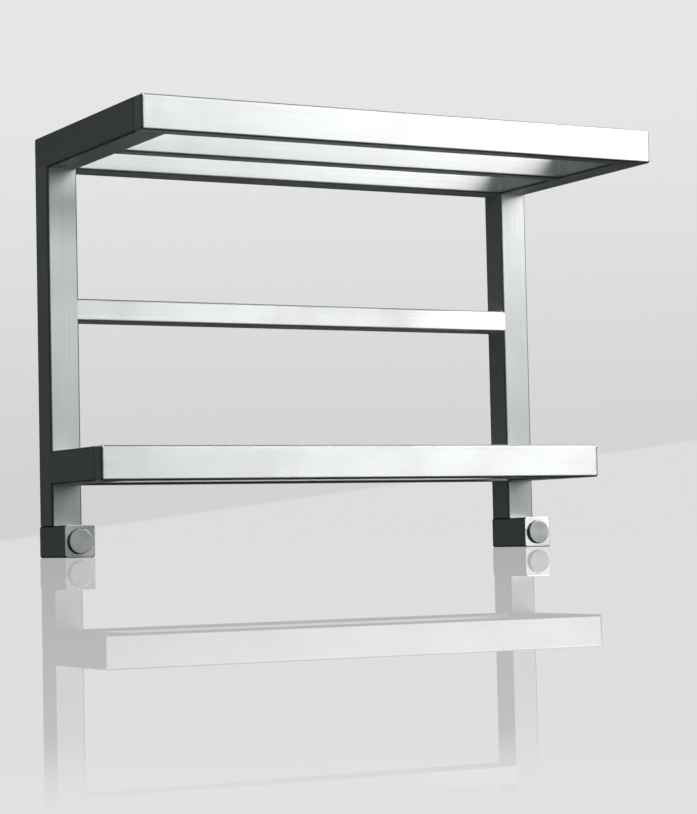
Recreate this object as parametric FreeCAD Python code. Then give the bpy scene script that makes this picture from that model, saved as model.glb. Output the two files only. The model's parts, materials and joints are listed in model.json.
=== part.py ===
"""Wall-mounted towel radiator with a shelf: a welded frame of rectangular steel tube on two square valves.

Units are millimetres. X runs along the rack, Y into the wall and Z up. The wall is the plane Y = 0, and
"out" is a distance from it towards the room, so Y = -out. Heights are measured from the valves' underside
while the model is built. The finished parts are moved down by origin_height, which puts the origin at the
centre of the four wall fixings, on the wall plane.
"""

import FreeCAD, Part

import math
import os

from FreeCAD import Vector

# Overall sizes
rack_width = 600.0
rack_height = 450.0
shelf_depth = 290.0
lower_depth = 174.0

# Tubes
upright_width = 34.0
upright_depth = 36.0
bar_height = 36.0
bar_depth = 20.0
middle_rail_height = 24.0
lower_frame_top = 113.0
tube_wall = 1.5
tube_corner = 2.5
end_plate = 3.0

# Waterways cut through the walls where tubes join
wide_port = 10.0
port_edge = 2.0

# Square valves
valve_height = 34.0
valve_front_edge = 0.8
thread_clearance = 0.05
pipe_radius = 7.5
pipe_clearance = 0.1
pipe_socket_depth = 17.0
pipe_seal_out = 11.0
pipe_lock_out = 4.5
pipe_lock_gap = 1.5
socket_chamfer = 0.6
orifice_radius = 4.5
orifice_length = 5.0
chamber_radius = 9.5
riser_width = 9.0
riser_height = 3.5
bonnet_radius = 10.0
bonnet_lip = 2.0
bonnet_flange = 3.0
bonnet_neck = 14.4
bonnet_slot_width = 3.0
bonnet_slot_depth = 1.2
bonnet_slot_edge = 3.0
flange_clearance = 0.2
knob_radius = 13.0
knob_proud = 4.0
knob_sunk = 3.0
knob_gap = 0.6
knob_clearance = 0.6
knob_edge = 0.6
valve_turns = 3.0
spindle_pitch = 1.5
plunger_square = 11.0
plunger_clearance = 0.2
plunger_head_clearance = 1.0
plunger_head = 3.5
plunger_shank = 16.0
plunger_end_gap = 1.5
washer_radius = 6.5
washer_thickness = 2.5
washer_pin_radius = 2.0
screw_radius = 3.5
running_clearance = 0.05
collar_radius = 5.2
collar_length = 2.0
collar_slack = 0.1
seat_clearance = 0.02
clip_groove = 0.6
clip_thickness = 0.8
clip_radius = 5.2
clip_gap = 4.0
clip_slack = 0.1
drive_radius = 3.0
drive_flat = 2.3
drive_wall = 2.0
seal_section = 1.8
seal_clearance = 0.05
seal_side_gap = 0.2
spindle_seal_section = 1.2

# Feet of the uprights and the double-threaded nipples that draw the valves up to them
foot_flange = 4.0
foot_plug = 10.0
foot_clearance = 0.05
nipple_setback = 12.0
nipple_radius = 8.0
nipple_bore = 5.5
nipple_depth = 6.0
nipple_lug = 1.5
nipple_lug_width = 2.5
nipple_end_gap = 0.3

# Wall fixings
fixing_inset = 36.0
peg_radius = 10.0
peg_length = 24.0
peg_clearance = 0.2
socket_wall = 1.8
socket_floor = 2.0
fixing_lock_out = 14.0
lock_boss_radius = 5.0
lock_groove = 1.0
lock_groove_edge = 0.5
wall_screw_radius = 2.75
wall_screw_head = 5.5

# Grub screws
grub_radius = 2.5
grub_key = 1.25
grub_sunk = 2.0
pipe_grub_sunk = 0.9
small_grub_radius = 1.5
small_grub_length = 6.0
small_grub_key = 0.75
grub_chamfer = 0.4

# Air vent in the right shelf arm
vent_boss_radius = 8.0
vent_boss_depth = 9.0
vent_boss_floor = 2.0
vent_plug_radius = 6.0
vent_plug_floor = 1.2
vent_screw_radius = 2.5
vent_sunk = 0.4
vent_channel = 1.0
vent_slot = 0.8
vent_slot_depth = 1.0

# Places worked out from those sizes
side = rack_width / 2
inner = side - upright_width
upright_x = side - upright_width / 2
shelf_bottom = rack_height - bar_height
lower_frame_bottom = lower_frame_top - bar_height
middle_rail_centre = (lower_frame_top + shelf_bottom) / 2
shelf_gap = (shelf_depth - upright_depth - 2 * bar_depth) / 2
middle_bar_out = upright_depth + shelf_gap
fixing_x = inner - fixing_inset
nipple_out = upright_depth - nipple_setback
shelf_fixing_height = rack_height - bar_height / 2
lower_fixing_height = lower_frame_top - bar_height / 2
origin_height = (shelf_fixing_height + lower_fixing_height) / 2
valve_axis = valve_height / 2
foot_top = valve_height + foot_flange + foot_plug
plunger_travel = valve_turns * spindle_pitch
seat_out = pipe_socket_depth + orifice_length
washer_out = seat_out + seat_clearance
plunger_back_out = washer_out + washer_thickness
head_front_out = plunger_back_out + plunger_head
shank_front_out = head_front_out + plunger_shank
plunger_head_radius = chamber_radius - plunger_head_clearance
bonnet_inner_out = head_front_out + plunger_travel + plunger_end_gap
screw_tip_out = bonnet_inner_out + plunger_end_gap
collar_out = shank_front_out + plunger_travel + plunger_end_gap
shoulder_out = collar_out + collar_length + collar_slack
recess_out = shoulder_out + bonnet_neck
flange_out = recess_out - bonnet_flange
bonnet_flange_radius = bonnet_radius + bonnet_lip
knob_back_out = recess_out + clip_slack + clip_thickness + knob_gap
valve_depth = knob_back_out + knob_sunk
knob_lock_out = valve_depth + small_grub_radius
drive_end_out = valve_depth + knob_proud - drive_wall
past = 5.0

X_AXIS = Vector(1, 0, 0)
Y_AXIS = Vector(0, 1, 0)
Z_AXIS = Vector(0, 0, 1)


# Basic shapes


def block(x0, x1, out0, out1, z0, z1):
    return Part.makeBox(x1 - x0, out1 - out0, z1 - z0, Vector(x0, -out1, z0))


def rod_x(radius, x0, x1, out, z):
    return Part.makeCylinder(radius, x1 - x0, Vector(x0, -out, z), X_AXIS)


def rod_out(radius, out0, out1, x=0.0, z=valve_axis):
    return Part.makeCylinder(radius, out1 - out0, Vector(x, -out0, z), Y_AXIS * -1)


def rod_up(radius, z0, z1, x, out):
    return Part.makeCylinder(radius, z1 - z0, Vector(x, -out, z0), Z_AXIS)


def cone_out(radius0, radius1, out0, out1, x=0.0, z=valve_axis):
    return Part.makeCone(radius0, radius1, out1 - out0, Vector(x, -out0, z), Y_AXIS * -1)


def one(shape):
    """The single solid that a boolean operation should leave."""
    solids = shape.Solids
    if len(solids) != 1:
        raise ValueError(f"expected one solid and found {len(solids)}")
    return solids[0]


def along(edge, axis):
    return abs(edge.tangentAt(edge.FirstParameter).dot(axis)) > 0.999


def tube_form(x0, x1, out0, out1, z0, z1, axis, radius=tube_corner):
    """A bar with rounded long edges."""
    bar = block(x0, x1, out0, out1, z0, z1)
    return bar.makeFillet(radius, [e for e in bar.Edges if along(e, axis)])


def bore_of_tube(x0, x1, out0, out1, z0, z1, axis):
    """The hollow of a tube whose outside is the given box: one wall in from each long side."""
    inset = Vector(tube_wall, tube_wall, tube_wall) - axis * tube_wall
    return tube_form(
        x0 + inset.x,
        x1 - inset.x,
        out0 + inset.y,
        out1 - inset.y,
        z0 + inset.z,
        z1 - inset.z,
        axis,
        tube_corner - tube_wall,
    )


def ring(section, centre_radius, centre, axis):
    return Part.makeTorus(centre_radius, section / 2, centre, axis)


def both_sides(x, make):
    """The same piece at -x and +x."""
    return [make(-x), make(x)]


# Solid outlines of the frame, which are later split into tubes


def round_outside(slab):
    """Rounds the level edges and the upright corners at the rack's two sides."""
    level = [e for e in slab.Edges if not along(e, Z_AXIS)]
    corners = [e for e in slab.Edges if along(e, Z_AXIS) and abs(e.Vertexes[0].X) > side - 1]
    return one(slab.makeFillet(tube_corner, level + corners))


def shelf_outline():
    slab = block(-side, side, 0, shelf_depth, shelf_bottom, rack_height)
    for out0 in (upright_depth, middle_bar_out + bar_depth):
        slab = slab.cut(
            block(-inner, inner, out0, out0 + shelf_gap, shelf_bottom - past, rack_height + past)
        )
    return round_outside(one(slab))


def lower_outline():
    """Front bar and two arms, whose ends run one corner radius into the uprights."""
    end = upright_depth - tube_corner
    slab = block(-side, side, end - past, lower_depth, lower_frame_bottom, lower_frame_top)
    slab = slab.cut(
        block(
            -inner,
            inner,
            end - 2 * past,
            lower_depth - bar_depth,
            lower_frame_bottom - past,
            lower_frame_top + past,
        )
    )
    slab = round_outside(one(slab))
    return one(slab.cut(block(-side, side, end - 2 * past, end, 0, rack_height)))


def upright_outline(x):
    half = upright_width / 2
    return tube_form(
        x - half, x + half, 0, upright_depth, valve_height, shelf_bottom + tube_corner, Z_AXIS
    )


def cross_outline(z0, z1):
    """A tube between the uprights, whose ends run one corner radius into them."""
    reach = inner + tube_corner
    return tube_form(-reach, reach, 0, upright_depth, z0, z1, X_AXIS)


shelf_form = shelf_outline()
lower_form = lower_outline()
upright_forms = both_sides(upright_x, upright_outline)
uprights_form = upright_forms[0].fuse(upright_forms[1])


# Ports between tubes


def slim_port(tube_size):
    """Radius of the port into a slim tube."""
    return tube_size / 2 - tube_wall - port_edge


def port_x(x, out, z, radius):
    return rod_x(radius, x - tube_corner, x + tube_corner, out, z)


def port_out(x, out, z, radius):
    return rod_out(radius, out - tube_corner, out + tube_corner, x, z)


def port_up(x, out, z, radius):
    return rod_up(radius, z - tube_corner, z + tube_corner, x, out)


# Shelf


def shelf_slice(x0, x1, out0, out1):
    return one(shelf_form.common(block(x0, x1, out0, out1, shelf_bottom - past, rack_height + past)))


def make_shelf_arm(x):
    x0, x1 = x - upright_width / 2, x + upright_width / 2
    front = shelf_depth - bar_depth
    arm = shelf_slice(x0, x1, end_plate, front)
    arm = arm.cut(bore_of_tube(x0, x1, end_plate, front, shelf_bottom, rack_height, Y_AXIS))
    wall_x = math.copysign(inner + tube_wall / 2, x)
    ports = [
        port_x(wall_x, upright_depth / 2, shelf_fixing_height, wide_port),
        port_x(
            wall_x, middle_bar_out + bar_depth / 2, shelf_fixing_height, slim_port(bar_depth)
        ),
        port_up(x, upright_depth / 2, shelf_bottom, wide_port),
    ]
    return arm.cut(ports)


def make_front_bar(form, depth, z0, z1):
    """A front bar over the rack's whole width, between its two end plates."""
    x1 = side - end_plate
    back = depth - bar_depth
    bar = one(form.common(block(-x1, x1, back, depth, z0, z1)))
    bar = bar.cut(bore_of_tube(-x1, x1, back, depth, z0, z1, X_AXIS))
    return one(bar.cut([port_out(x, back, (z0 + z1) / 2, wide_port) for x in (-upright_x, upright_x)]))


def make_front_bar_plates(form, depth, z0, z1):
    back = depth - bar_depth
    left = one(form.common(block(-side, -side + end_plate, back, depth, z0, z1)))
    right = one(form.common(block(side - end_plate, side, back, depth, z0, z1)))
    return Part.makeCompound([left, right])


def make_shelf_middle_bar():
    front = middle_bar_out + bar_depth
    bar = shelf_slice(-inner, inner, middle_bar_out, front)
    return one(
        bar.cut(bore_of_tube(-inner, inner, middle_bar_out, front, shelf_bottom, rack_height, X_AXIS))
    )


def make_shelf_rear_bar():
    bar = shelf_slice(-inner, inner, 0, upright_depth)
    bar = bar.cut(bore_of_tube(-inner, inner, 0, upright_depth, shelf_bottom, rack_height, X_AXIS))
    return one(bar.cut(socket_holes(shelf_fixing_height)))


def make_shelf_arm_plates():
    """Plates that close the arms' ends at the wall."""
    return Part.makeCompound(
        [shelf_slice(-side, -inner, 0, end_plate), shelf_slice(inner, side, 0, end_plate)]
    )


# Uprights, middle rail and lower frame


def make_upright(x):
    x0, x1 = x - upright_width / 2, x + upright_width / 2
    foot = valve_height + foot_flange
    tube = upright_outline(x).cut(shelf_form)
    tube = tube.cut(block(x0, x1, 0, upright_depth, 0, foot))
    tube = tube.cut(bore_of_tube(x0, x1, 0, upright_depth, foot, shelf_bottom, Z_AXIS))
    wall_x = math.copysign(inner + tube_wall / 2, x)
    middle = upright_depth / 2
    ports = [
        port_x(wall_x, middle, middle_rail_centre, slim_port(middle_rail_height)),
        port_x(wall_x, middle, lower_fixing_height, wide_port),
        port_out(x, upright_depth - tube_wall / 2, lower_fixing_height, wide_port),
    ]
    return one(tube.cut(ports))


def make_cross_tube(z0, z1):
    tube = cross_outline(z0, z1).cut(uprights_form).cut(lower_form)
    return one(tube.cut(bore_of_tube(-inner, inner, 0, upright_depth, z0, z1, X_AXIS)))


def make_middle_rail():
    half = middle_rail_height / 2
    return make_cross_tube(middle_rail_centre - half, middle_rail_centre + half)


def make_lower_rear_bar():
    bar = make_cross_tube(lower_frame_bottom, lower_frame_top)
    return one(bar.cut(socket_holes(lower_fixing_height)))


def make_lower_arm(x):
    x0, x1 = x - upright_width / 2, x + upright_width / 2
    front = lower_depth - bar_depth
    arm = lower_form.common(block(x0, x1, 0, front, lower_frame_bottom, lower_frame_top))
    arm = arm.cut(uprights_form)
    return one(
        arm.cut(
            bore_of_tube(x0, x1, upright_depth, front, lower_frame_bottom, lower_frame_top, Y_AXIS)
        )
    )


# Wall fixings in the two rear bars


def fixing_points():
    return [
        (x, z)
        for z in (shelf_fixing_height, lower_fixing_height)
        for x in (-fixing_x, fixing_x)
    ]


def socket_sizes():
    bore = peg_radius + peg_clearance
    return bore, bore + socket_wall


def socket_holes(z):
    """Holes in a rear bar for its two fixing sockets and their grub screw bosses."""
    outer = socket_sizes()[1]
    holes = []
    for x in (-fixing_x, fixing_x):
        holes.append(rod_out(outer, -past, upright_depth / 2, x, z))
        holes.append(rod_up(lock_boss_radius, z - bar_height / 2 - past, z, x, fixing_lock_out))
    return holes


def make_wall_socket(x, z):
    """A blind sleeve for a wall peg, with a threaded boss down to the bar's underside."""
    bore, outer = socket_sizes()
    depth = peg_length + peg_clearance
    sleeve = rod_out(outer, 0, depth + socket_floor, x, z)
    boss = rod_up(lock_boss_radius, z - bar_height / 2, z, x, fixing_lock_out)
    body = sleeve.fuse(boss).removeSplitter()
    body = body.cut(rod_out(bore, 0, depth, x, z))
    return one(body.cut(rod_up(grub_radius + thread_clearance, z - bar_height, z, x, fixing_lock_out)))


def make_wall_peg(x, z):
    """A round peg held to the wall by one countersunk screw, with a groove for the grub screw."""
    peg = rod_out(peg_radius, 0, peg_length, x, z)
    half = grub_radius + lock_groove_edge
    groove = rod_out(peg_radius + 1, fixing_lock_out - half, fixing_lock_out + half, x, z)
    groove = groove.cut(
        rod_out(peg_radius - lock_groove, fixing_lock_out - half, fixing_lock_out + half, x, z)
    )
    sink = cone_out(
        wall_screw_radius,
        wall_screw_head,
        peg_length - wall_screw_head + wall_screw_radius,
        peg_length,
        x,
        z,
    )
    return one(peg.cut([groove, rod_out(wall_screw_radius, 0, peg_length, x, z), sink]))


def hex_prism(radius, length):
    """A hexagonal key socket along +Z from the origin."""
    points = [
        Vector(radius * math.cos(k * math.pi / 3), radius * math.sin(k * math.pi / 3), 0)
        for k in range(7)
    ]
    return Part.Face(Part.makePolygon(points)).extrude(Z_AXIS * length)


def grub_screw(radius, length, key):
    """A grub screw standing on the origin, with its key socket underneath."""
    screw = Part.makeCylinder(radius, length)
    screw = screw.makeChamfer(grub_chamfer, [e for e in screw.Edges if not along(e, Z_AXIS)])
    return one(screw.cut(hex_prism(key, length / 3)))


def make_wall_grub_screw(x, z):
    """Reaches from just inside the bar's underside to the floor of the peg's groove."""
    bottom = z - bar_height / 2 + grub_sunk
    top = z - peg_radius + lock_groove
    screw = grub_screw(grub_radius, top - bottom, grub_key)
    screw.translate(Vector(x, -fixing_lock_out, bottom))
    return screw


# Feet and nipples


def make_foot_plug(x):
    """Closes the upright's lower end and takes the nipple's thread."""
    half = upright_width / 2
    top = valve_height + foot_flange
    flange = tube_form(x - half, x + half, 0, upright_depth, valve_height, top, Z_AXIS)
    gap = tube_wall + foot_clearance
    plug = tube_form(
        x - half + gap,
        x + half - gap,
        gap,
        upright_depth - gap,
        top,
        foot_top,
        Z_AXIS,
        tube_corner - tube_wall,
    )
    body = one(flange.fuse(plug))
    bore = nipple_radius + thread_clearance
    return one(body.cut(rod_up(bore, 0, rack_height, x, nipple_out)))


def make_nipple(x):
    """A left-hand thread below and a right-hand thread above, turned by two lugs inside."""
    bottom = valve_height - nipple_depth + nipple_end_gap
    body = rod_up(nipple_radius, bottom, foot_top, x, nipple_out)
    bore = rod_up(nipple_bore, bottom - past, foot_top + past, x, nipple_out)
    half = nipple_lug_width / 2
    bar = block(
        x - nipple_radius,
        x + nipple_radius,
        nipple_out - half,
        nipple_out + half,
        bottom - past,
        foot_top + past,
    )
    key_way = rod_up(nipple_bore - nipple_lug, bottom - past, foot_top + past, x, nipple_out)
    return one(body.cut(bore.cut(bar).fuse(key_way)))


def seal_in(outer, inner_radius, centre, axis):
    """An O-ring that fills the space between two radii, less the seal clearance."""
    section = outer - inner_radius - 2 * seal_clearance
    return ring(section, (outer + inner_radius) / 2, centre, axis)


def nipple_seal_pocket():
    """Radii of the ring-shaped pocket around the nipple in the valve's top."""
    inside = nipple_radius + thread_clearance
    return inside, inside + seal_section


def make_nipple_seal(x):
    inside, outside = nipple_seal_pocket()
    centre = Vector(x, -nipple_out, valve_height - seal_section / 2)
    return seal_in(outside, inside, centre, Z_AXIS)


# Valves, built on X = 0 and then moved to each upright


def square_bar(size, out0, out1):
    half = size / 2
    return block(-half, half, out0, out1, valve_axis - half, valve_axis + half)


def pipe_groove():
    """Start, end and floor radius of the pipe seal's groove."""
    half = seal_section / 2 + seal_side_gap
    return pipe_seal_out - half, pipe_seal_out + half, pipe_radius + pipe_clearance + seal_section


def make_riser():
    """A slot that joins the top of the valve's chamber to the nipple."""
    middles = (nipple_out, (seat_out + bonnet_inner_out) / 2)
    half = riser_width / 2
    top = valve_height - nipple_depth
    return block(
        -half, half, min(middles) - half, max(middles) + half, top - riser_height, top + nipple_end_gap
    )


def make_valve_body():
    half = upright_width / 2
    body = tube_form(-half, half, 0, valve_depth, 0, valve_height, Y_AXIS)
    front = [e for e in body.Edges if e.BoundBox.YMax < -valve_depth + 0.01]
    body = body.makeFillet(valve_front_edge, front)
    pipe_bore = pipe_radius + pipe_clearance
    groove0, groove1, groove_floor = pipe_groove()
    cuts = [
        rod_out(pipe_bore, 0, pipe_socket_depth),
        cone_out(pipe_bore + socket_chamfer, pipe_bore, 0, socket_chamfer),
        rod_out(groove_floor, groove0, groove1),
        rod_out(orifice_radius, pipe_socket_depth, seat_out),
        rod_out(chamber_radius, seat_out, bonnet_inner_out),
        rod_out(bonnet_radius + thread_clearance, bonnet_inner_out, flange_out),
        rod_out(bonnet_flange_radius + flange_clearance, flange_out, recess_out),
        rod_out(knob_radius + knob_clearance, recess_out, valve_depth),
        rod_up(
            nipple_radius + thread_clearance,
            valve_height - nipple_depth,
            valve_height,
            0,
            nipple_out,
        ),
        rod_up(
            nipple_seal_pocket()[1],
            valve_height - seal_section,
            valve_height,
            0,
            nipple_out,
        ),
        make_riser(),
        rod_up(grub_radius + thread_clearance, 0, valve_axis, 0, pipe_lock_out),
    ]
    return one(body.cut(cuts))


def make_pipe_seal():
    _, _, floor = pipe_groove()
    reach = pipe_radius - seal_clearance
    section = floor - seal_clearance - reach
    return ring(section, reach + section / 2, Vector(0, -pipe_seal_out, valve_axis), Y_AXIS)


def make_pipe_grub_screw():
    """Stops short of the bore, ready to be driven up against the pipe."""
    top = valve_axis - pipe_radius - pipe_clearance - pipe_lock_gap
    screw = grub_screw(grub_radius, top - pipe_grub_sunk, grub_key)
    screw.translate(Vector(0, -pipe_lock_out, pipe_grub_sunk))
    return screw


def bonnet_seal_groove():
    width = seal_section + 2 * seal_side_gap
    return flange_out - width, flange_out, bonnet_radius + thread_clearance - seal_section


def make_bonnet():
    """The threaded insert that guides the spindle and keeps the plunger from turning."""
    groove0, groove1, floor = bonnet_seal_groove()
    body = rod_out(bonnet_radius, bonnet_inner_out, flange_out)
    body = body.fuse(rod_out(bonnet_flange_radius, flange_out, recess_out))
    groove = rod_out(bonnet_radius + 1, groove0, groove1).cut(rod_out(floor, groove0, groove1))
    spanner_slots = block(
        -bonnet_flange_radius,
        bonnet_flange_radius,
        recess_out - bonnet_slot_depth,
        recess_out + past,
        valve_axis - bonnet_slot_width / 2,
        valve_axis + bonnet_slot_width / 2,
    ).cut(rod_out(screw_radius + bonnet_slot_edge, recess_out - past, recess_out + past))
    guide = square_bar(plunger_square + 2 * plunger_clearance, 0, shoulder_out)
    neck = rod_out(screw_radius + running_clearance, 0, valve_depth)
    return one(body.cut([groove, spanner_slots, guide, neck]))


def make_bonnet_seal():
    groove0, groove1, floor = bonnet_seal_groove()
    centre = Vector(0, -(groove0 + groove1) / 2, valve_axis)
    return seal_in(bonnet_radius + thread_clearance, floor, centre, Y_AXIS)


def spindle_seal_outs():
    """Centres of the two grooves, a third of the way in from each end of the bonnet's neck."""
    return [shoulder_out + bonnet_neck / 3, recess_out - bonnet_neck / 3]


def spindle_seal_floor():
    return screw_radius + running_clearance - spindle_seal_section


def clip_outs():
    """The clip's two faces, just outside the bonnet."""
    out = recess_out + clip_slack
    return out, out + clip_thickness


def make_spindle():
    out0, out1 = clip_outs()
    journal_end = knob_back_out
    tip = rod_out(screw_radius, screw_tip_out, collar_out)
    collar = rod_out(collar_radius, collar_out, collar_out + collar_length)
    journal = rod_out(screw_radius, collar_out + collar_length, journal_end)
    drive = rod_out(drive_radius, journal_end, drive_end_out)
    body = tip.fuse([collar, journal, drive])
    flat = block(
        -past, past, journal_end, drive_end_out + past, valve_axis - past, valve_axis - drive_flat
    )
    clip_seat = rod_out(screw_radius + 1, out0, out1).cut(
        rod_out(screw_radius - clip_groove, out0, out1)
    )
    cuts = [flat, clip_seat]
    half = spindle_seal_section / 2 + seal_side_gap
    for out in spindle_seal_outs():
        cuts.append(
            rod_out(screw_radius + 1, out - half, out + half).cut(
                rod_out(spindle_seal_floor(), out - half, out + half)
            )
        )
    return one(body.cut(cuts))


def make_spindle_seals():
    return Part.makeCompound(
        [
            seal_in(
                screw_radius + running_clearance,
                spindle_seal_floor(),
                Vector(0, -out, valve_axis),
                Y_AXIS,
            )
            for out in spindle_seal_outs()
        ]
    )


def make_spindle_clip():
    """An open ring that keeps the spindle from slipping inwards."""
    out0, out1 = clip_outs()
    clip = rod_out(clip_radius, out0, out1)
    inside = rod_out(screw_radius - clip_groove + running_clearance, out0, out1)
    half = clip_gap / 2
    mouth = block(-half, half, out0, out1, valve_axis, valve_axis + clip_radius + past)
    return one(clip.cut([inside, mouth]))


def make_plunger():
    """A nut that the spindle drives along; its square shank keeps it from turning."""
    head = rod_out(plunger_head_radius, plunger_back_out, head_front_out)
    shank = square_bar(plunger_square, head_front_out, shank_front_out)
    pin = rod_out(washer_pin_radius, washer_out, plunger_back_out)
    body = head.fuse([shank, pin])
    thread = rod_out(screw_radius + running_clearance, head_front_out, shank_front_out)
    return one(body.cut(thread))


def make_seat_washer():
    washer = rod_out(washer_radius, washer_out, plunger_back_out)
    return one(washer.cut(rod_out(washer_pin_radius, washer_out, plunger_back_out)))


def drive_hole(slack):
    """The D-shaped hole that fits the spindle's end."""
    front = drive_end_out + slack
    hole = rod_out(drive_radius + slack, knob_back_out - past, front)
    flat = block(
        -past, past, knob_back_out - past, front, valve_axis - past, valve_axis - drive_flat - slack
    )
    return hole.cut(flat)


def make_knob():
    front = valve_depth + knob_proud
    knob = rod_out(knob_radius, knob_back_out, front)
    rim = [e for e in knob.Edges if e.BoundBox.YMax < -front + 0.01]
    knob = knob.makeFillet(knob_edge, rim)
    grub = rod_up(
        small_grub_radius + thread_clearance,
        valve_axis - knob_radius - past,
        valve_axis - drive_flat,
        0,
        knob_lock_out,
    )
    return one(knob.cut([drive_hole(running_clearance), grub]))


def make_knob_grub_screw():
    screw = grub_screw(small_grub_radius, small_grub_length, small_grub_key)
    top = valve_axis - drive_flat
    screw.translate(Vector(0, -knob_lock_out, top - small_grub_length))
    return screw


VALVE_PIECES = {
    "valve_body": make_valve_body,
    "pipe_seal": make_pipe_seal,
    "pipe_grub_screw": make_pipe_grub_screw,
    "bonnet": make_bonnet,
    "bonnet_seal": make_bonnet_seal,
    "spindle": make_spindle,
    "spindle_seals": make_spindle_seals,
    "spindle_clip": make_spindle_clip,
    "plunger": make_plunger,
    "seat_washer": make_seat_washer,
    "knob": make_knob,
    "knob_grub_screw": make_knob_grub_screw,
}


# Air vent, in the top of the right arm above the upright


def vent_axis():
    return upright_x, upright_depth / 2


def vent_hole():
    x, out = vent_axis()
    return rod_up(vent_boss_radius, rack_height - tube_wall - past, rack_height + past, x, out)


def vent_seat():
    """Height of the boss's floor, where the plug's ring seals."""
    return rack_height - vent_boss_depth + vent_boss_floor


def vent_plug_bottom():
    return vent_seat() + seal_section


def vent_screw_bottom():
    return vent_plug_bottom() + vent_plug_floor + seat_clearance


def slot_up(length, width, depth):
    """A screwdriver slot across the vent, cut down from its sunk top."""
    x, out = vent_axis()
    top = rack_height - vent_sunk
    return block(
        x - length / 2, x + length / 2, out - width / 2, out + width / 2, top - depth, top + past
    )


def make_vent_boss():
    x, out = vent_axis()
    body = rod_up(vent_boss_radius, rack_height - vent_boss_depth, rack_height, x, out)
    thread = rod_up(vent_plug_radius + thread_clearance, vent_seat(), rack_height, x, out)
    channel = rod_up(vent_screw_radius, 0, rack_height, x, out)
    return one(body.cut([thread, channel]))


def make_vent_plug():
    x, out = vent_axis()
    bottom = vent_plug_bottom()
    body = rod_up(vent_plug_radius, bottom, rack_height - vent_sunk, x, out)
    thread = rod_up(
        vent_screw_radius + running_clearance, bottom + vent_plug_floor, rack_height, x, out
    )
    channel = rod_up(vent_channel, 0, rack_height, x, out)
    slot = slot_up(2 * vent_plug_radius + 1, vent_slot, vent_slot_depth)
    return one(body.cut([thread, channel, slot]))


def make_vent_seal():
    x, out = vent_axis()
    section = seal_section - 2 * seal_clearance
    centre = Vector(x, -out, vent_seat() + seal_section / 2)
    return ring(section, vent_plug_radius - seal_section / 2, centre, Z_AXIS)


def make_bleed_screw():
    x, out = vent_axis()
    body = rod_up(vent_screw_radius, vent_screw_bottom(), rack_height - vent_sunk, x, out)
    return one(body.cut(slot_up(2 * vent_screw_radius + 1, vent_slot, vent_slot_depth)))


# All the parts


def frame_parts():
    arms = both_sides(upright_x, make_shelf_arm)
    return {
        "left_upright": make_upright(-upright_x),
        "right_upright": make_upright(upright_x),
        "left_shelf_arm": one(arms[0]),
        "right_shelf_arm": one(arms[1].cut(vent_hole())),
        "shelf_front_bar": make_front_bar(shelf_form, shelf_depth, shelf_bottom, rack_height),
        "shelf_middle_bar": make_shelf_middle_bar(),
        "shelf_rear_bar": make_shelf_rear_bar(),
        "middle_rail": make_middle_rail(),
        "left_lower_arm": make_lower_arm(-upright_x),
        "right_lower_arm": make_lower_arm(upright_x),
        "lower_front_bar": make_front_bar(
            lower_form, lower_depth, lower_frame_bottom, lower_frame_top
        ),
        "lower_rear_bar": make_lower_rear_bar(),
        "shelf_front_bar_end_plates": make_front_bar_plates(
            shelf_form, shelf_depth, shelf_bottom, rack_height
        ),
        "lower_front_bar_end_plates": make_front_bar_plates(
            lower_form, lower_depth, lower_frame_bottom, lower_frame_top
        ),
        "shelf_arm_end_plates": make_shelf_arm_plates(),
    }


def fixing_parts():
    points = fixing_points()
    return {
        "wall_sockets": Part.makeCompound([make_wall_socket(x, z) for x, z in points]),
        "wall_pegs": Part.makeCompound([make_wall_peg(x, z) for x, z in points]),
        "wall_grub_screws": Part.makeCompound([make_wall_grub_screw(x, z) for x, z in points]),
    }


def vent_parts():
    return {
        "air_vent_boss": make_vent_boss(),
        "air_vent_plug": make_vent_plug(),
        "air_vent_seal": make_vent_seal(),
        "bleed_screw": make_bleed_screw(),
    }


def side_parts(name, x):
    """The foot and the valve under one upright."""
    parts = {
        f"{name}_foot_plug": make_foot_plug(x),
        f"{name}_nipple": make_nipple(x),
        f"{name}_nipple_seal": make_nipple_seal(x),
    }
    for piece, make in VALVE_PIECES.items():
        shape = make()
        shape.translate(Vector(x, 0, 0))
        parts[f"{name}_{piece}"] = shape
    return parts


def main():
    os.makedirs("parts", exist_ok=True)
    parts = {**frame_parts(), **fixing_parts(), **vent_parts()}
    parts.update(side_parts("left", -upright_x))
    parts.update(side_parts("right", upright_x))
    for name, shape in parts.items():
        shape.translate(Vector(0, 0, -origin_height))
        shape.exportStep(f"parts/{name}.step")


main()
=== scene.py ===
"""Studio scene and finishes for a wall-mounted towel radiator in brushed steel. Units are metres."""

import json
import math

import bmesh
import bpy
from mathutils import Matrix, Vector


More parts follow.
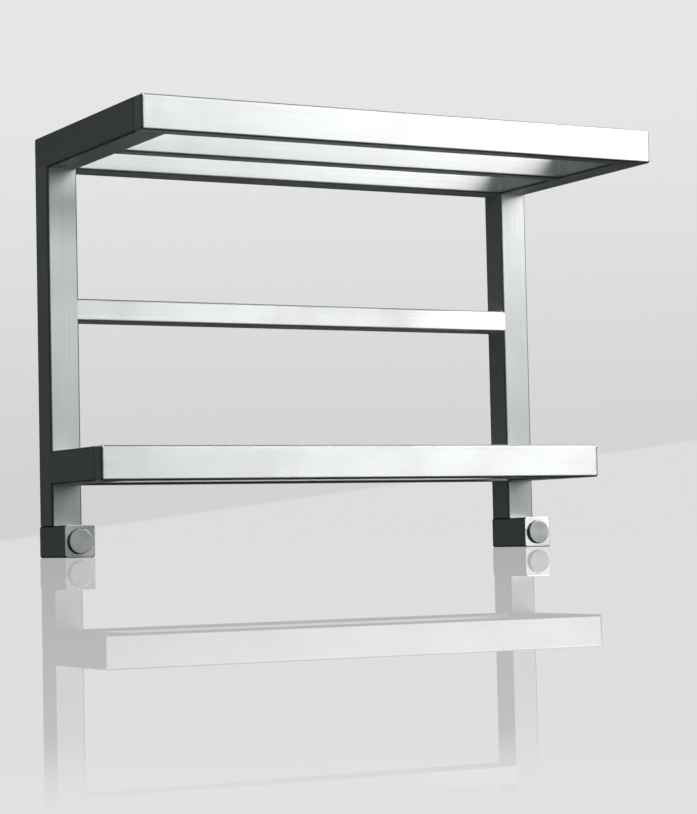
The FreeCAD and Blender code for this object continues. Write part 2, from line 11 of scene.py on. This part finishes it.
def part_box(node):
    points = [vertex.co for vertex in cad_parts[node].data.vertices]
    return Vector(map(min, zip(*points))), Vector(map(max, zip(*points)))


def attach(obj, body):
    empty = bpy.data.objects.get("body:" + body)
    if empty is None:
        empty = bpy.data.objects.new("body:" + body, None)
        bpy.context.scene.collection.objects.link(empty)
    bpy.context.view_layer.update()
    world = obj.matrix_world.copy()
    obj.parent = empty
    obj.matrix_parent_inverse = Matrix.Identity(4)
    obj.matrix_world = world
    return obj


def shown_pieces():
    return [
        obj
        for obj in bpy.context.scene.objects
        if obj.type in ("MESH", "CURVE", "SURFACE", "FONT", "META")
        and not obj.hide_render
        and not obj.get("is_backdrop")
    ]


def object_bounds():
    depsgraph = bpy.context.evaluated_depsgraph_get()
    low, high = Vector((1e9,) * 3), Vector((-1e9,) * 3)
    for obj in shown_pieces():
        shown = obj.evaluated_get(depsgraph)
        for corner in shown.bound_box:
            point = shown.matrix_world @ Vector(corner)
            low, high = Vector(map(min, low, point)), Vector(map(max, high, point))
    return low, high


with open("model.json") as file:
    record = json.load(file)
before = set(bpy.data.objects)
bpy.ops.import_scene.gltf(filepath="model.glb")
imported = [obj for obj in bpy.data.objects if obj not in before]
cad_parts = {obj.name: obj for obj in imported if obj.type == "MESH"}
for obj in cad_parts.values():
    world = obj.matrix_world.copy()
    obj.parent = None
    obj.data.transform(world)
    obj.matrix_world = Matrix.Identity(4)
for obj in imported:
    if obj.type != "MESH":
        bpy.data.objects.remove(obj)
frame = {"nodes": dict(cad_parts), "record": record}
cad_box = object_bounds()
scene = bpy.context.scene
scene.view_settings.view_transform = "Standard"

LOW, HIGH = (Vector(corner) for corner in cad_box)
FLOOR_Z = LOW.z
WORLD_AXES = "XYZ"


# Small helpers for shader nodes


class Shader:
    """Adds nodes to a material or world and links them as they are made."""

    def __init__(self, owner):
        owner.use_nodes = True
        self.tree = owner.node_tree
        self.tree.nodes.clear()

    def put(self, kind, values=None, **settings):
        node = self.tree.nodes.new(kind)
        for key, value in settings.items():
            setattr(node, key, value)
        for key, value in (values or {}).items():
            socket = node.inputs[key]
            if isinstance(value, bpy.types.NodeSocket):
                self.tree.links.new(value, socket)
            else:
                socket.default_value = value
        return node

    def math(self, operation, a, b=0.0, clamp=False):
        node = self.put("ShaderNodeMath", {0: a, 1: b}, operation=operation, use_clamp=clamp)
        return node.outputs[0]

    def smooth(self, value, low, high, to_low=0.0, to_high=1.0):
        node = self.put(
            "ShaderNodeMapRange",
            {0: value, 1: low, 2: high, 3: to_low, 4: to_high},
            interpolation_type="SMOOTHSTEP",
        )
        return node.outputs[0]

    def span(self, value, low, high, to_low, to_high):
        node = self.put("ShaderNodeMapRange", {0: value, 1: low, 2: high, 3: to_low, 4: to_high})
        return node.outputs[0]

    def mix(self, factor, a, b, blend="MIX"):
        node = self.put("ShaderNodeMix", data_type="RGBA", blend_type=blend)
        for key, value in ((0, factor), (6, a), (7, b)):
            if isinstance(value, bpy.types.NodeSocket):
                self.tree.links.new(value, node.inputs[key])
            else:
                node.inputs[key].default_value = value
        return node.outputs[2]

    def noise(self, vector, scale, detail=2.0, roughness=0.5):
        """Noise stretched by a scale per axis, in cycles per metre."""
        scaled = self.put("ShaderNodeVectorMath", {0: vector, 1: scale}, operation="MULTIPLY")
        node = self.put(
            "ShaderNodeTexNoise",
            {"Vector": scaled.outputs[0], "Scale": 1.0, "Detail": detail, "Roughness": roughness},
        )
        return node.outputs[0]

    def position(self):
        return self.put("ShaderNodeTexCoord").outputs["Object"]

    def parts(self, vector):
        return self.put("ShaderNodeSeparateXYZ", {0: vector}).outputs


def gray(value, tint=(1.0, 1.0, 1.0)):
    return (value * tint[0], value * tint[1], value * tint[2], 1.0)


def finish_surface(shader, bsdf):
    shader.put("ShaderNodeOutputMaterial", {"Surface": bsdf.outputs[0]})


# Materials


def streak_scale(axis, along, across):
    scale = [across] * 3
    scale[WORLD_AXES.index(axis)] = along
    return tuple(scale)


STEEL = (0.70, 0.742, 0.716)


def brushed_steel(name, axis, low, high, colour=STEEL, rough=0.42, welded=True):
    """Steel brushed along one axis, with a ground weld at each end and painted shade, a near-black line, along the
    rounded corners.

    low and high are the piece's corners.
    """
    material = bpy.data.materials.new(name)
    s = Shader(material)
    place = s.position()
    fine = s.noise(place, streak_scale(axis, 9.0, 2600.0), 3.0, 0.65)
    coarse = s.noise(place, streak_scale(axis, 3.0, 420.0), 2.0, 0.55)
    smudge = s.noise(place, (11.0, 11.0, 11.0), 4.0, 0.6)
    scratch = s.noise(place, streak_scale(axis, 26.0, 900.0), 1.0, 0.4)
    scratch = s.smooth(scratch, 0.70, 0.76)

    parts = s.parts(place)
    depth = [
        s.math("MINIMUM", s.math("SUBTRACT", parts[k], low[k]), s.math("SUBTRACT", high[k], parts[k]))
        for k in range(3)
    ]
    to_end = depth.pop(WORLD_AXES.index(axis))
    # Painted shade: this mask marks the rounded corners, which get a near-black line that stands in for the dark
    # surroundings they reflect.
    corner = s.smooth(s.math("MAXIMUM", *depth), 0.0012, 0.0026, 1.0, 0.0)
    reach = 0.0028 if welded else 0.0
    ground = s.smooth(to_end, 0.0, max(reach, 1e-6), 1.0 if welded else 0.0, 0.0)
    line = s.smooth(to_end, 0.0, 0.0006, 1.0 if welded else 0.0, 0.0)

    tone = s.math("ADD", s.math("MULTIPLY", fine, 0.55), s.math("MULTIPLY", coarse, 0.45))
    dark = tuple(c * 0.93 for c in colour) + (1.0,)
    light = tuple(min(1.0, c * 1.05) for c in colour) + (1.0,)
    base = s.mix(s.smooth(tone, 0.3, 0.7), dark, light)
    base = s.mix(s.math("MULTIPLY", s.smooth(smudge, 0.42, 0.72), 0.30), base, gray(0.56, (0.96, 1.0, 0.97)))
    base = s.mix(s.math("MULTIPLY", ground, 0.25), base, gray(0.74, (1.0, 0.99, 0.96)))
    base = s.mix(s.math("MULTIPLY", line, 0.35), base, gray(0.42, (1.0, 0.97, 0.92)))
    # Painted shade on the rounded corners: the base colour is mixed three quarters of the way to near black there.
    base = s.mix(s.math("MULTIPLY", corner, 0.75), base, gray(0.08, (0.95, 1.0, 0.97)))

    roughness = s.span(fine, 0.25, 0.75, rough - 0.05, rough + 0.06)
    roughness = s.math("ADD", roughness, s.math("MULTIPLY", s.smooth(smudge, 0.35, 0.75), 0.07))
    roughness = s.math("ADD", roughness, s.math("MULTIPLY", ground, 0.10))
    roughness = s.math("SUBTRACT", roughness, s.math("MULTIPLY", scratch, 0.07), clamp=True)

    height = s.math("ADD", s.math("MULTIPLY", fine, 0.7), s.math("MULTIPLY", scratch, -0.5))
    bump = s.put("ShaderNodeBump", {"Strength": 0.06, "Distance": 0.00002, "Height": height})
    tangent = s.put("ShaderNodeTangent", direction_type="RADIAL", axis=axis)
    bsdf = s.put(
        "ShaderNodeBsdfPrincipled",
        {
            "Base Color": base,
            "Roughness": roughness,
            "Normal": bump.outputs[0],
            "Tangent": tangent.outputs[0],
            "Metallic": 1.0,
            "Anisotropic": 0.5,
        },
    )
    finish_surface(s, bsdf)
    return material


def turned_metal(name, axis, centre, colour, rough=0.25, pitch=5200.0, wear=0.10, spread=0.5):
    """Metal turned about an axis: fine rings that catch the light as a fan."""
    material = bpy.data.materials.new(name)
    s = Shader(material)
    place = s.position()
    local = s.put("ShaderNodeVectorMath", {0: place, 1: centre}, operation="SUBTRACT").outputs[0]
    flat = [1.0, 1.0, 1.0]
    flat[WORLD_AXES.index(axis)] = 0.0
    flat = s.put("ShaderNodeVectorMath", {0: local, 1: tuple(flat)}, operation="MULTIPLY").outputs[0]
    radius = s.put("ShaderNodeVectorMath", {0: flat}, operation="LENGTH").outputs["Value"]
    depth = s.parts(local)[WORLD_AXES.index(axis)]
    rings = s.put("ShaderNodeCombineXYZ", {0: radius, 1: depth, 2: 0.0}).outputs[0]
    fine = s.noise(rings, (pitch, pitch, 1.0), 2.0, 0.6)
    broad = s.noise(rings, (pitch / 9, pitch / 9, 1.0), 1.0, 0.5)
    smudge = s.noise(place, (90.0, 90.0, 90.0), 3.0, 0.6)
    tone = s.math("ADD", s.math("MULTIPLY", fine, 0.5), s.math("MULTIPLY", broad, 0.5))
    dark = tuple(c * (1 - wear) for c in colour) + (1.0,)
    light = tuple(min(1.0, c * (1 + wear / 2)) for c in colour) + (1.0,)
    base = s.mix(s.smooth(tone, 0.3, 0.7), dark, light)
    roughness = s.span(fine, 0.25, 0.75, rough - 0.05, rough + 0.08)
    roughness = s.math("ADD", roughness, s.math("MULTIPLY", s.smooth(smudge, 0.4, 0.8), 0.08))
    bump = s.put("ShaderNodeBump", {"Strength": 0.12, "Distance": 0.00003, "Height": fine})
    tangent = s.put("ShaderNodeTangent", direction_type="RADIAL", axis=axis)
    bsdf = s.put(
        "ShaderNodeBsdfPrincipled",
        {
            "Base Color": base,
            "Roughness": roughness,
            "Normal": bump.outputs[0],
            "Tangent": tangent.outputs[0],
            "Metallic": 1.0,
            "Anisotropic": spread,
        },
    )
    finish_surface(s, bsdf)
    return material


def rubber(name):
    material = bpy.data.materials.new(name)
    s = Shader(material)
    place = s.position()
    grain = s.noise(place, (2500.0, 2500.0, 2500.0), 3.0, 0.6)
    bloom = s.noise(place, (300.0, 300.0, 300.0), 2.0, 0.5)
    base = s.mix(s.smooth(bloom, 0.4, 0.75), gray(0.016), gray(0.035, (1.0, 1.0, 1.05)))
    bump = s.put("ShaderNodeBump", {"Strength": 0.2, "Distance": 0.00003, "Height": grain})
    bsdf = s.put(
        "ShaderNodeBsdfPrincipled",
        {
            "Base Color": base,
            "Roughness": s.span(grain, 0.2, 0.8, 0.5, 0.7),
            "Normal": bump.outputs[0],
        },
    )
    finish_surface(s, bsdf)
    return material


# Every CAD node keeps its shape and gets its finish from its slot in the record


def long_axis(node):
    low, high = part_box(node)
    size = high - low
    return max(range(3), key=lambda k: size[k])


def centre_of(node):
    low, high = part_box(node)
    return tuple((low + high) / 2)


def steel_for(node, axis=None, **settings):
    low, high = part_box(node)
    index = long_axis(node) if axis is None else WORLD_AXES.index(axis)
    return brushed_steel(f"steel_{node}", WORLD_AXES[index], tuple(low), tuple(high), **settings)


def turned_for(node, colour, axis="Y", **settings):
    return turned_metal(f"turned_{node}", axis, centre_of(node), colour, **settings)


BRASS = (0.70, 0.52, 0.25)
BLACK_STEEL = (0.10, 0.10, 0.105)
SPRING_STEEL = (0.42, 0.42, 0.43)
NICKEL = (0.72, 0.70, 0.66)
ALUMINIUM = (0.78, 0.78, 0.79)

black_rubber = rubber("black_rubber")
upright_nodes = ("bonnet", "spindle", "plunger")
FINISHES = {
    "tube": lambda node: steel_for(node),
    "end_plate": lambda node: steel_for(node, "Y" if "arm" in node else "Z", welded=False),
    "valve_body": lambda node: steel_for(node, "Y", welded=False, rough=0.29),
    "knob": lambda node: turned_for(node, tuple(c * 0.86 for c in STEEL), rough=0.38, spread=0.2),
    "socket": lambda node: turned_for(node, (0.55, 0.56, 0.56)),
    "peg": lambda node: turned_for(node, ALUMINIUM),
    "grub_screw": lambda node: turned_for(node, BLACK_STEEL, axis="Z", rough=0.4),
    "clip": lambda node: turned_for(node, SPRING_STEEL),
    "vent": lambda node: turned_for(node, NICKEL, axis="Z"),
    "brass": lambda node: turned_for(node, BRASS),
    "rubber": lambda node: black_rubber,
}

for entry in frame["record"]["subparts"]:
    node = entry["node"]
    material = FINISHES[entry["material_slot"]](node)
    for slot in frame["nodes"][node].material_slots:
        slot.material = material


# Weld beads in the inside corners of the frame, as new pieces on the frame's body


def weld_steel():
    material = bpy.data.materials.new("ground_weld")
    s = Shader(material)
    place = s.position()
    ripple = s.noise(place, (900.0, 900.0, 900.0), 3.0, 0.6)
    heat = s.noise(place, (60.0, 60.0, 60.0), 2.0, 0.5)
    base = s.mix(s.smooth(ripple, 0.3, 0.7), gray(0.75), gray(0.95))
    base = s.mix(s.math("MULTIPLY", s.smooth(heat, 0.5, 0.75), 0.3), base, (0.42, 0.36, 0.28, 1.0))
    bump = s.put("ShaderNodeBump", {"Strength": 0.4, "Distance": 0.0001, "Height": ripple})
    bsdf = s.put(
        "ShaderNodeBsdfPrincipled",
        {
            "Base Color": base,
            "Roughness": s.span(ripple, 0.2, 0.8, 0.28, 0.42),
            "Normal": bump.outputs[0],
            "Metallic": 1.0,
        },
    )
    finish_surface(s, bsdf)
    return material


WELD_LEG = 0.0018
WELD_SINK = 0.0004
weld_material = weld_steel()


def weld_bead(name, corner, axis, length, side_a, side_b):
    """A concave bead along axis from corner. side_a and side_b are unit vectors into the open corner."""
    run = Vector([1.0 if letter == axis else 0.0 for letter in WORLD_AXES])
    side_a, side_b = Vector(side_a), Vector(side_b)
    mesh = bmesh.new()
    rings = []
    count = max(8, round(length / 0.003))
    for i in range(count + 1):
        leg = WELD_LEG * (1 + 0.10 * math.sin(1.9 * i) + 0.06 * math.sin(0.73 * i + 1.0))
        start = Vector(corner) + run * (length * i / count)
        outline = [start - (side_a + side_b) * WELD_SINK, start + side_a * leg - side_b * WELD_SINK]
        for step in range(4):
            turn = math.pi / 2 * step / 3
            outline.append(start + side_a * leg * (1 - math.sin(turn)) + side_b * leg * (1 - math.cos(turn)))
        outline.append(start + side_b * leg - side_a * WELD_SINK)
        rings.append([mesh.verts.new(point) for point in outline])
    for ring, after in zip(rings, rings[1:]):
        for k in range(len(ring)):
            following = (k + 1) % len(ring)
            mesh.faces.new((ring[k], ring[following], after[following], after[k]))
    mesh.faces.new(rings[0])
    mesh.faces.new(reversed(rings[-1]))
    bmesh.ops.recalc_face_normals(mesh, faces=mesh.faces)
    data = bpy.data.meshes.new(name)
    mesh.to_mesh(data)
    mesh.free()
    for face in data.polygons:
        face.use_smooth = True
    data.materials.append(weld_material)
    bead = bpy.data.objects.new(name, data)
    scene.collection.objects.link(bead)
    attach(bead, "frame")
    return bead


def weld_bar_to_arms(node, open_sides):
    """Upright beads where a bar's faces meet the arms' inner faces. open_sides are -1 for its front face, 1 for its back."""
    low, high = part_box(node)
    bottom, top = low.z + CORNER, high.z - CORNER
    for side, inner in (("left", ARM_INNER), ("right", -ARM_INNER)):
        toward_middle = (1.0 if side == "left" else -1.0, 0.0, 0.0)
        for open_side in open_sides:
            bead_name = f"weld_{node}_{side}_{'back' if open_side > 0 else 'front'}"
            y = high.y if open_side > 0 else low.y
            weld_bead(bead_name, (inner, y, bottom), "Z", top - bottom, toward_middle, (0.0, open_side, 0.0))


CORNER = 0.0025
ARM_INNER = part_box("left_upright")[1].x
weld_bar_to_arms("shelf_front_bar", (1.0,))
weld_bar_to_arms("shelf_middle_bar", (-1.0, 1.0))
weld_bar_to_arms("shelf_rear_bar", (-1.0,))
weld_bar_to_arms("lower_front_bar", (1.0,))
weld_bar_to_arms("lower_rear_bar", (-1.0,))

rail_low, rail_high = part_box("middle_rail")
for side, inner, inward in (("left", ARM_INNER, 1.0), ("right", -ARM_INNER, -1.0)):
    for place, z, open_side in (("over", rail_high.z, 1.0), ("under", rail_low.z, -1.0)):
        weld_bead(
            f"weld_middle_rail_{side}_{place}",
            (inner, rail_low.y + CORNER, z),
            "Y",
            rail_high.y - rail_low.y - 2 * CORNER,
            (inward, 0.0, 0.0),
            (0.0, 0.0, open_side),
        )


# Camera: from the left and just above the floor, looking slightly up


def make_camera():
    data = bpy.data.cameras.new("camera")
    data.sensor_fit = "HORIZONTAL"
    data.sensor_width = 36.0
    data.lens = 123.84
    camera = bpy.data.objects.new("camera", data)
    scene.collection.objects.link(camera)
    yaw, pitch, roll = math.radians(28.298), math.radians(3.185), math.radians(-1.256)
    turn = Matrix.Rotation(-yaw, 4, "Z") @ Matrix.Rotation(math.pi / 2 + pitch, 4, "X")
    camera.matrix_world = (
        Matrix.Translation((-1.2214, -2.4114, FLOOR_Z + 0.0117))
        @ turn
        @ Matrix.Rotation(roll, 4, "Z")
    )
    data.clip_end = 100.0
    scene.camera = camera
    return camera


camera = make_camera()


# Stage: a pale glossy floor and a pale backdrop all round

EDGE_SLOPE, EDGE_RISE = 0.1224, -0.0191


def glow(shader, colour, strength=1.0):
    return shader.put("ShaderNodeEmission", {"Color": colour, "Strength": strength})


def make_floor():
    bpy.ops.mesh.primitive_circle_add(vertices=96, radius=8.5, fill_type="NGON", location=(0, 0, FLOOR_Z))
    floor = bpy.context.object
    floor.name = "floor"
    material = bpy.data.materials.new("floor_gloss")
    s = Shader(material)
    from_front = s.put("ShaderNodeVectorMath", {0: s.position(), 1: (-1.2214, -2.4114, 0.0)}, operation="DISTANCE")
    far = s.smooth(from_front.outputs["Value"], 0.10, 0.155)
    grazing = s.put("ShaderNodeFresnel", {"IOR": 1.45}).outputs[0]
    gloss = s.math("MULTIPLY", far, s.math("MULTIPLY", grazing, 0.45))
    tone = s.mix(far, gray(0.775, (0.985, 0.985, 1.0)), gray(0.735, (0.99, 0.99, 1.0)))
    pale = glow(s, tone)
    mirror = s.put("ShaderNodeBsdfGlossy", {"Color": gray(1.0), "Roughness": 0.0})
    both = s.put("ShaderNodeMixShader", {0: gloss, 1: pale.outputs[0], 2: mirror.outputs[0]})
    s.put("ShaderNodeOutputMaterial", {"Surface": both.outputs[0]})
    floor.data.materials.append(material)
    return floor


def make_backdrop():
    """A pale dome. A slanting edge on it divides the darker wall from a lighter lower part."""
    bpy.ops.mesh.primitive_uv_sphere_add(segments=96, ring_count=48, radius=9.0, location=(0, 0, 0))
    dome = bpy.context.object
    dome.name = "backdrop"
    material = bpy.data.materials.new("backdrop_pale")
    s = Shader(material)
    x, y, z = s.parts(s.position())
    wall = s.mix(s.smooth(z, -0.4, 2.2), gray(0.645, (0.99, 0.99, 1.0)), gray(0.81, (0.985, 0.985, 1.0)))
    side = s.math("SUBTRACT", s.math("MULTIPLY", x, 0.8805), s.math("MULTIPLY", y, 0.4741))
    edge = s.math("SUBTRACT", z, s.math("ADD", s.math("MULTIPLY", side, EDGE_SLOPE), EDGE_RISE))
    colour = s.mix(s.smooth(edge, -0.012, 0.012), gray(0.735, (0.99, 0.99, 1.0)), wall)
    light = glow(s, colour)
    s.put("ShaderNodeOutputMaterial", {"Surface": light.outputs[0]})
    dome.data.materials.append(material)
    return dome


floor = make_floor()
backdrop = make_backdrop()
for piece in (floor, backdrop):
    piece.visible_glossy = False
    piece.visible_diffuse = False
    piece.visible_shadow = False
    piece.visible_transmission = False
    piece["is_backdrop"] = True


# Light: one large softbox at the front right, weaker ones around, and a dim room


WARM = ("key", "key_high", "right", "right_high", "low_middle")
lit_pieces = bpy.data.collections.new("lit_pieces")
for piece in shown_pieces():
    lit_pieces.objects.link(piece)


def softbox(name, azimuth, elevation, distance, width, height, power, receivers=lit_pieces):
    """A rectangular light that faces the object and leaves the stage alone.

    Azimuth 0 is straight in front, 90 is the right.
    """
    around, up = math.radians(azimuth), math.radians(elevation)
    aim = Vector((0.0, -0.12, 0.0))
    away = Vector((math.sin(around) * math.cos(up), -math.cos(around) * math.cos(up), math.sin(up)))
    data = bpy.data.lights.new(name, "AREA")
    data.shape = "RECTANGLE"
    data.size, data.size_y = width, height
    data.energy = power
    data.color = (1.0, 0.955, 0.965) if name in WARM else (1.0, 1.0, 1.0)
    lamp = bpy.data.objects.new(name, data)
    scene.collection.objects.link(lamp)
    lamp.location = aim + away * distance
    lamp.rotation_euler = away.to_track_quat("Z", "Y").to_euler()
    lamp.visible_camera = False
    lamp.light_linking.receiver_collection = receivers
    return lamp


# Name, azimuth, elevation, distance, width, height, power
LIGHTS = (
    ("front", 5, 20, 3.0, 1.3, 1.0, 8.0),
    ("front_high", 5, 42, 3.0, 1.3, 1.2, 9.5),
    ("key_low", 32, 2, 3.0, 1.3, 0.7, 4.4),
    ("key", 32, 20, 3.0, 1.3, 1.0, 7.5),
    ("key_high", 32, 42, 3.0, 1.3, 1.2, 9.0),
    ("right", 60, 20, 3.0, 1.3, 1.0, 18.0),
    ("right_high", 60, 42, 3.0, 1.3, 1.2, 58.0),
    ("left", -70, 35, 3.0, 1.4, 1.4, 5.0),
    ("rear", 150, 35, 3.2, 2.2, 1.4, 16.0),
    ("rear_left", -105, 55, 3.2, 2.0, 1.4, 10.0),
    ("overhead", 0, 85, 2.6, 1.8, 1.8, 10.0),
)
for light in LIGHTS:
    softbox(*light)


def lamps_for(nodes, lights):
    """Panels that are flagged off everything but the named nodes."""
    group = bpy.data.collections.new("lit_by_" + lights[0][0])
    for node in nodes:
        group.objects.link(frame["nodes"][node])
    for light in lights:
        softbox(*light, receivers=group)


lamps_for(
    (
        "lower_front_bar",
        "lower_front_bar_end_plates",
        "middle_rail",
        "right_valve_body",
    ),
    (
        ("low_middle", 34, 2, 3.0, 1.5, 0.8, 5.5),
        ("low_front", 5, 2, 3.0, 1.3, 0.7, 1.6),
    ),
)
lamps_for(
    ("left_upright", "right_upright"),
    (("upright_glow", 25, 32, 3.0, 1.6, 0.6, 16.0),),
)


def make_world():
    world = bpy.data.worlds.new("studio")
    scene.world = world
    s = Shader(world)
    direction = s.put("ShaderNodeTexCoord").outputs["Generated"]
    x, y, z = s.parts(direction)
    above = s.smooth(z, -0.06, -0.015)
    back_right = s.math("ADD", s.math("MULTIPLY", x, 0.5), s.math("MULTIPLY", y, 0.85))
    pale = s.math("MULTIPLY", s.smooth(back_right, 0.80, 0.97), above)
    dim_room, pale_room = gray(0.045, (0.90, 1.0, 0.95)), gray(0.75, (0.99, 0.99, 1.0))
    background = s.put("ShaderNodeBackground", {"Color": s.mix(pale, dim_room, pale_room)})
    s.put("ShaderNodeOutputWorld", {"Surface": background.outputs[0]})


make_world()
